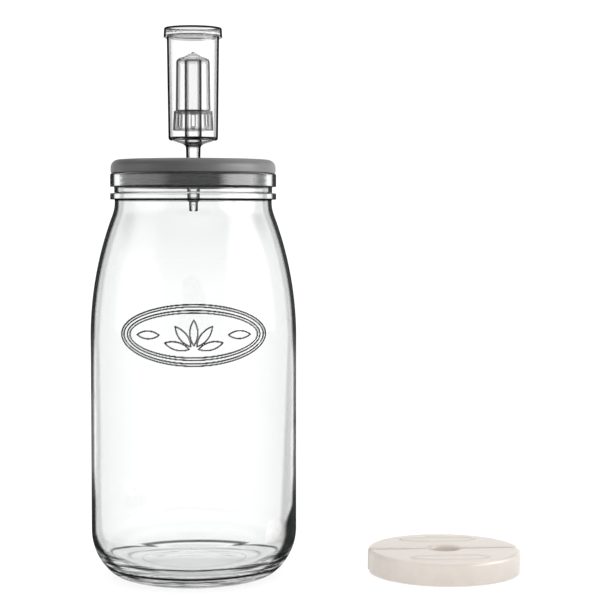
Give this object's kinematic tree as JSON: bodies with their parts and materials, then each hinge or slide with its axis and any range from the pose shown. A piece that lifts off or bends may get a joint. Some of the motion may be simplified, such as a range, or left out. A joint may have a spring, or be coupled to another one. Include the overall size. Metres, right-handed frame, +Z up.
{
  "type": "fermentation jar with airlock",
  "caption": "Wide-mouth glass fermentation jar with a push-in silicone lid, a clear water airlock in its centre hole and a split pair of ceramic pressing weights.",
  "frame": {"origin": "middle of the jar's foot, on the surface that it stands on", "axes": "+Z up along the jar's axis, the raised oval faces -Y, the pair of weights lies towards +X"},
  "size_m": [0.2904, 0.1383, 0.367],
  "materials": {
    "clear_glass": "clear pressed glass, glossy",
    "grey_silicone": "moulded silicone, satin",
    "clear_plastic": "clear moulded plastic, glossy",
    "cream_ceramic": "cream glaze, soft gloss"
  },
  "bodies": {
    "jar": {"glass_jar": "clear_glass"},
    "lid": {"silicone_lid": "grey_silicone"},
    "airlock": {"airlock_chamber": "clear_plastic"},
    "bubbler": {"airlock_bubbler": "clear_plastic"},
    "cap": {"airlock_cap": "clear_plastic"},
    "weight_front": {"pressing_weight_front": "cream_ceramic"},
    "weight_back": {"pressing_weight_back": "cream_ceramic"}
  },
  "joints": [
    {"name": "lid_lift", "type": "slide", "parent": "jar", "child": "lid", "axis": [0, 0, 1], "range_m": [0, 0.12]},
    {"name": "airlock_pull", "type": "slide", "parent": "lid", "child": "airlock", "axis": [0, 0, 1], "range_m": [0, 0.06]},
    {"name": "bubbler_rise", "type": "slide", "parent": "airlock", "child": "bubbler", "axis": [0, 0, 1], "range_m": [0, 0.0102]},
    {"name": "cap_lift", "type": "slide", "parent": "airlock", "child": "cap", "axis": [0, 0, 1], "range_m": [0, 0.04]},
    {"name": "weight_front_lift", "type": "slide", "parent": "jar", "child": "weight_front", "axis": [0, 0, 1], "range_m": [0, 0.1]},
    {"name": "weight_back_lift", "type": "slide", "parent": "jar", "child": "weight_back", "axis": [0, 0, 1], "range_m": [0, 0.1]}
  ]
}
